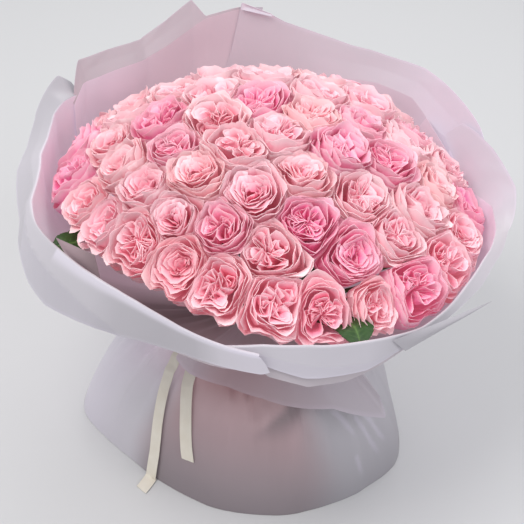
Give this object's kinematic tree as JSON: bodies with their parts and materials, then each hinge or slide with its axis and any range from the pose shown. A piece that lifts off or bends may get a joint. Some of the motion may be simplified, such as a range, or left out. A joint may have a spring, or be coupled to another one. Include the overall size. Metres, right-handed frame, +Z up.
{
  "type": "wrapped rose bouquet",
  "caption": "Hand-tied domed bouquet of pink garden roses in folded frosted film, tied with a cream ribbon, standing on its stem ends and flared film skirt.",
  "frame": {"origin": "centre of the bounding box's bottom face, on the floor under the bouquet", "axes": "+Z up along the bouquet's stems; the bouquet's front, with the ribbon's tails, faces -Y; +X is to the viewer's right"},
  "size_m": [0.5668, 0.5742, 0.4676],
  "materials": {
    "rose": "soft matte petals, pale pink outside and deeper coral pink in the heart, on a green stem",
    "film": "thin frosted pinkish white florist's film, satin sheen",
    "ribbon": "cream satin ribbon, fine ribs",
    "twine": "raw jute twine",
    "leaf": "dark green leaf, slight gloss"
  },
  "bodies": {
    "root": {"rose_01": "rose", "rose_02": "rose", "rose_03": "rose", "rose_04": "rose", "rose_05": "rose", "rose_06": "rose", "rose_07": "rose", "rose_08": "rose", "rose_09": "rose", "rose_10": "rose", "rose_11": "rose", "rose_12": "rose", "rose_13": "rose", "rose_14": "rose", "rose_15": "rose", "rose_16": "rose", "rose_17": "rose", "rose_18": "rose", "rose_19": "rose", "rose_20": "rose", "rose_21": "rose", "rose_22": "rose", "rose_23": "rose", "rose_24": "rose", "rose_25": "rose", "rose_26": "rose", "rose_27": "rose", "rose_28": "rose", "rose_29": "rose", "rose_30": "rose", "rose_31": "rose", "rose_32": "rose", "rose_33": "rose", "rose_34": "rose", "rose_35": "rose", "rose_36": "rose", "rose_37": "rose", "rose_38": "rose", "rose_39": "rose", "rose_40": "rose", "rose_41": "rose", "rose_42": "rose", "rose_43": "rose", "rose_44": "rose", "rose_45": "rose", "rose_46": "rose", "rose_47": "rose", "rose_48": "rose", "rose_49": "rose", "rose_50": "rose", "rose_51": "rose", "wrap_left": "film", "wrap_right": "film", "wrap_back_left": "film", "wrap_back_right": "film", "wrap_skirt": "film", "binding_twine": "twine", "ribbon": "ribbon", "leaf_left": "leaf", "leaf_front": "leaf"}
  },
  "joints": []
}
